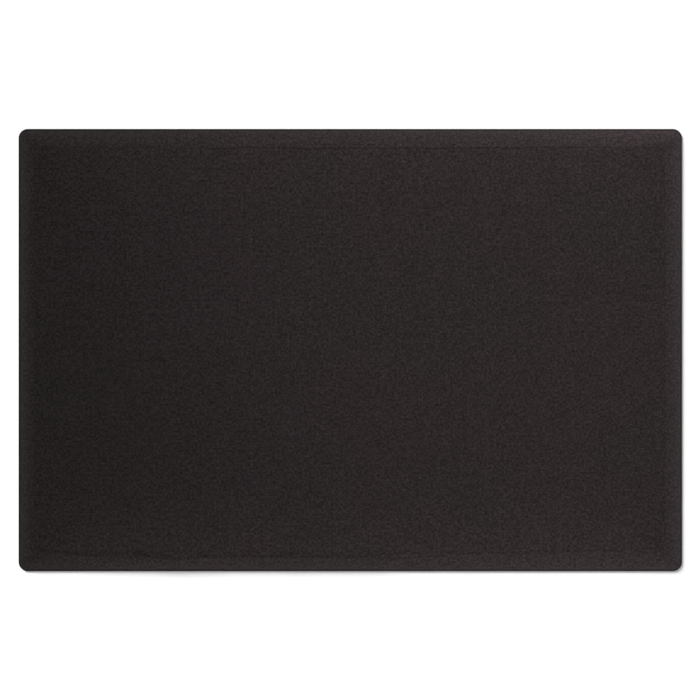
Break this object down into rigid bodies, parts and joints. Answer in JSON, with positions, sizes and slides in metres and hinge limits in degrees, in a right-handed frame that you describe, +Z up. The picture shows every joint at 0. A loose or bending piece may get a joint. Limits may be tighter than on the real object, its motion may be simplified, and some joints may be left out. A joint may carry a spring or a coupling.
{
  "type": "anti fatigue mat",
  "caption": "Rectangular standing mat with rounded corners and sloping edges: a woven charcoal cover over soft and firm foam on a non-slip rubber base.",
  "frame": {"origin": "middle of the underside, on the floor", "axes": "+X along the long side to the right, +Y along the short side to the far edge, +Z up"},
  "size_m": [0.9144, 0.6096, 0.0159],
  "materials": {
    "cover_cloth": "matte woven polyester, charcoal with a faint warm cast and a soft sheen at grazing angles",
    "bond_film": "translucent off-white hot-melt adhesive film",
    "soft_foam": "open-cell polyurethane foam, mid grey, fine cells",
    "firm_foam": "closed-cell foam, dark grey, dense fine cells",
    "base_rubber": "matte black moulded rubber with a fine grain"
  },
  "bodies": {
    "root": {"top_cover": "cover_cloth", "cover_bond_film": "bond_film", "comfort_foam": "soft_foam", "foam_bond_film": "bond_film", "support_foam": "firm_foam", "base_bond_film": "bond_film", "grip_base": "base_rubber"}
  },
  "joints": []
}
